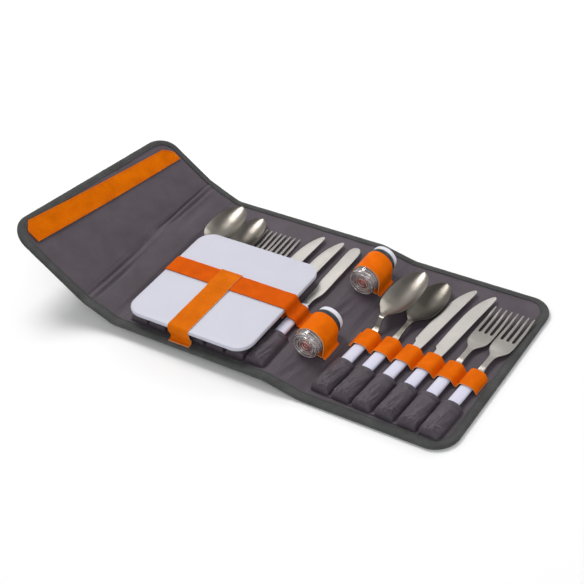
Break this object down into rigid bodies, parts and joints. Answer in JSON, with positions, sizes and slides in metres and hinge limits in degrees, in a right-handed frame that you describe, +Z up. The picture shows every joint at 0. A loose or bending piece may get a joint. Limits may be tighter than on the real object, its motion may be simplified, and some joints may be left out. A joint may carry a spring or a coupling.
{
  "type": "picnic cutlery wallet",
  "caption": "Fold-out fabric wallet holding knives, forks, spoons and a spreader in elastic loops, a strapped cutting board and two shakers.",
  "frame": {"origin": "centre of the underside of the padded back of the middle panel, on the surface the wallet rests on", "axes": "+X across the row of cutlery towards the right-hand panel, +Y from the handle ends towards the tips, +Z up"},
  "size_m": [0.535, 0.25, 0.0992],
  "materials": {
    "lining": "matt coated nylon lining, purple grey",
    "binding": "woven binding tape, dark grey",
    "elastic": "ribbed elastic webbing, orange",
    "closure": "hook and loop tape, orange",
    "stiffener": "plain sheet",
    "padding": "soft padded back cover",
    "steel": "satin stainless steel",
    "handle": "smooth white moulded plastic",
    "board": "satin white plastic",
    "clear": "clear plastic jar",
    "collar": "dark moulded plastic",
    "cap": "white moulded plastic"
  },
  "bodies": {
    "middle_panel": {"middle_sleeve": "lining", "middle_stiffener": "stiffener", "middle_near_binding": "binding", "middle_far_binding": "binding", "middle_back_padding": "padding", "middle_pocket_row": "lining", "middle_elastic_band": "elastic", "cross_strap": "elastic", "lengthwise_strap": "elastic"},
    "right_spine": {"right_spine_sleeve": "lining", "right_spine_stiffener": "stiffener", "near_shaker_loop": "elastic", "far_shaker_loop": "elastic"},
    "right_panel": {"right_panel_sleeve": "lining", "right_panel_stiffener": "stiffener", "right_panel_binding": "binding", "right_pocket_row": "lining", "right_elastic_band": "elastic", "outside_loop_strip": "closure"},
    "left_spine": {"left_spine_sleeve": "lining", "left_spine_stiffener": "stiffener"},
    "flap": {"flap_sleeve": "lining", "flap_stiffener": "stiffener", "flap_binding": "binding", "flap_hook_strip": "closure"},
    "board": {"cutting_board": "board"},
    "spreader": {"spreader_handle": "handle", "spreader_head": "steel"},
    "near_shaker": {"near_shaker_jar": "clear", "near_shaker_collar": "collar"},
    "far_shaker": {"far_shaker_jar": "clear", "far_shaker_collar": "collar"},
    "near_cap": {"near_shaker_cap": "cap"},
    "far_cap": {"far_shaker_cap": "cap"},
    "right_spoon_1": {"right_spoon_1_handle": "handle", "right_spoon_1_head": "steel"},
    "right_spoon_2": {"right_spoon_2_handle": "handle", "right_spoon_2_head": "steel"},
    "right_knife_1": {"right_knife_1_handle": "handle", "right_knife_1_head": "steel"},
    "right_knife_2": {"right_knife_2_handle": "handle", "right_knife_2_head": "steel"},
    "right_fork_1": {"right_fork_1_handle": "handle", "right_fork_1_head": "steel"},
    "right_fork_2": {"right_fork_2_handle": "handle", "right_fork_2_head": "steel"},
    "middle_spoon_1": {"middle_spoon_1_handle": "handle", "middle_spoon_1_head": "steel"},
    "middle_spoon_2": {"middle_spoon_2_handle": "handle", "middle_spoon_2_head": "steel"},
    "middle_fork_1": {"middle_fork_1_handle": "handle", "middle_fork_1_head": "steel"},
    "middle_fork_2": {"middle_fork_2_handle": "handle", "middle_fork_2_head": "steel"},
    "middle_knife_1": {"middle_knife_1_handle": "handle", "middle_knife_1_head": "steel"},
    "middle_knife_2": {"middle_knife_2_handle": "handle", "middle_knife_2_head": "steel"}
  },
  "joints": [
    {"name": "right_spine_fold", "type": "hinge", "parent": "middle_panel", "child": "right_spine", "pos_m": [0.1005, 0, 0.0144], "axis": [0, -1, 0], "range_deg": [-10, 74]},
    {"name": "right_panel_fold", "type": "hinge", "parent": "right_spine", "child": "right_panel", "pos_m": [0.14253, 0, 0.0044], "axis": [0, -1, 0], "range_deg": [-13, 36]},
    {"name": "left_spine_fold", "type": "hinge", "parent": "middle_panel", "child": "left_spine", "pos_m": [-0.1005, 0, 0.0144], "axis": [0, 1, 0], "range_deg": [-24.7, 65.3]},
    {"name": "flap_fold", "type": "hinge", "parent": "left_spine", "child": "flap", "pos_m": [-0.13866, 0, 0.03195], "axis": [0, 1, 0], "range_deg": [-15.6, 74.4]},
    {"name": "right_spoon_1_pull_out", "type": "slide", "parent": "right_panel", "child": "right_spoon_1", "axis": [0.0628, 0.998, 0], "range_m": [0, 0.235]},
    {"name": "right_spoon_2_pull_out", "type": "slide", "parent": "right_panel", "child": "right_spoon_2", "axis": [0.0663, 0.9978, 0], "range_m": [0, 0.235]},
    {"name": "right_knife_1_pull_out", "type": "slide", "parent": "right_panel", "child": "right_knife_1", "axis": [0.0715, 0.9974, 0], "range_m": [0, 0.235]},
    {"name": "right_knife_2_pull_out", "type": "slide", "parent": "right_panel", "child": "right_knife_2", "axis": [0.0576, 0.9983, 0], "range_m": [0, 0.235]},
    {"name": "right_fork_1_pull_out", "type": "slide", "parent": "right_panel", "child": "right_fork_1", "axis": [0.0454, 0.999, 0], "range_m": [0, 0.235]},
    {"name": "right_fork_2_pull_out", "type": "slide", "parent": "right_panel", "child": "right_fork_2", "axis": [0.0523, 0.9986, 0], "range_m": [0, 0.235]},
    {"name": "middle_spoon_1_pull_out", "type": "slide", "parent": "middle_panel", "child": "middle_spoon_1", "axis": [-0.0227, 0.9997, 0], "range_m": [0, 0.235]},
    {"name": "middle_spoon_2_pull_out", "type": "slide", "parent": "middle_panel", "child": "middle_spoon_2", "axis": [0, 1, 0], "range_m": [0, 0.235]},
    {"name": "middle_fork_1_pull_out", "type": "slide", "parent": "middle_panel", "child": "middle_fork_1", "axis": [0, 1, 0], "range_m": [0, 0.235]},
    {"name": "middle_fork_2_pull_out", "type": "slide", "parent": "middle_panel", "child": "middle_fork_2", "axis": [0, 1, 0], "range_m": [0, 0.235]},
    {"name": "middle_knife_1_pull_out", "type": "slide", "parent": "middle_panel", "child": "middle_knife_1", "axis": [0, 1, 0], "range_m": [0, 0.235]},
    {"name": "middle_knife_2_pull_out", "type": "slide", "parent": "middle_panel", "child": "middle_knife_2", "axis": [0, 1, 0], "range_m": [0, 0.235]},
    {"name": "spreader_pull_out", "type": "slide", "parent": "middle_panel", "child": "spreader", "axis": [0, 1, 0], "range_m": [0, 0.235]},
    {"name": "board_pull_out", "type": "slide", "parent": "middle_panel", "child": "board", "axis": [0, 1, 0], "range_m": [0, 0.245]},
    {"name": "near_shaker_pull_out", "type": "slide", "parent": "right_spine", "child": "near_shaker", "axis": [0, -1, 0], "range_m": [0, 0.11]},
    {"name": "far_shaker_pull_out", "type": "slide", "parent": "right_spine", "child": "far_shaker", "axis": [0, 1, 0], "range_m": [0, 0.09]},
    {"name": "near_cap_pull_off", "type": "slide", "parent": "near_shaker", "child": "near_cap", "axis": [0, 1, 0], "range_m": [0, 0.025]},
    {"name": "far_cap_pull_off", "type": "slide", "parent": "far_shaker", "child": "far_cap", "axis": [0, 1, 0], "range_m": [0, 0.025]}
  ]
}
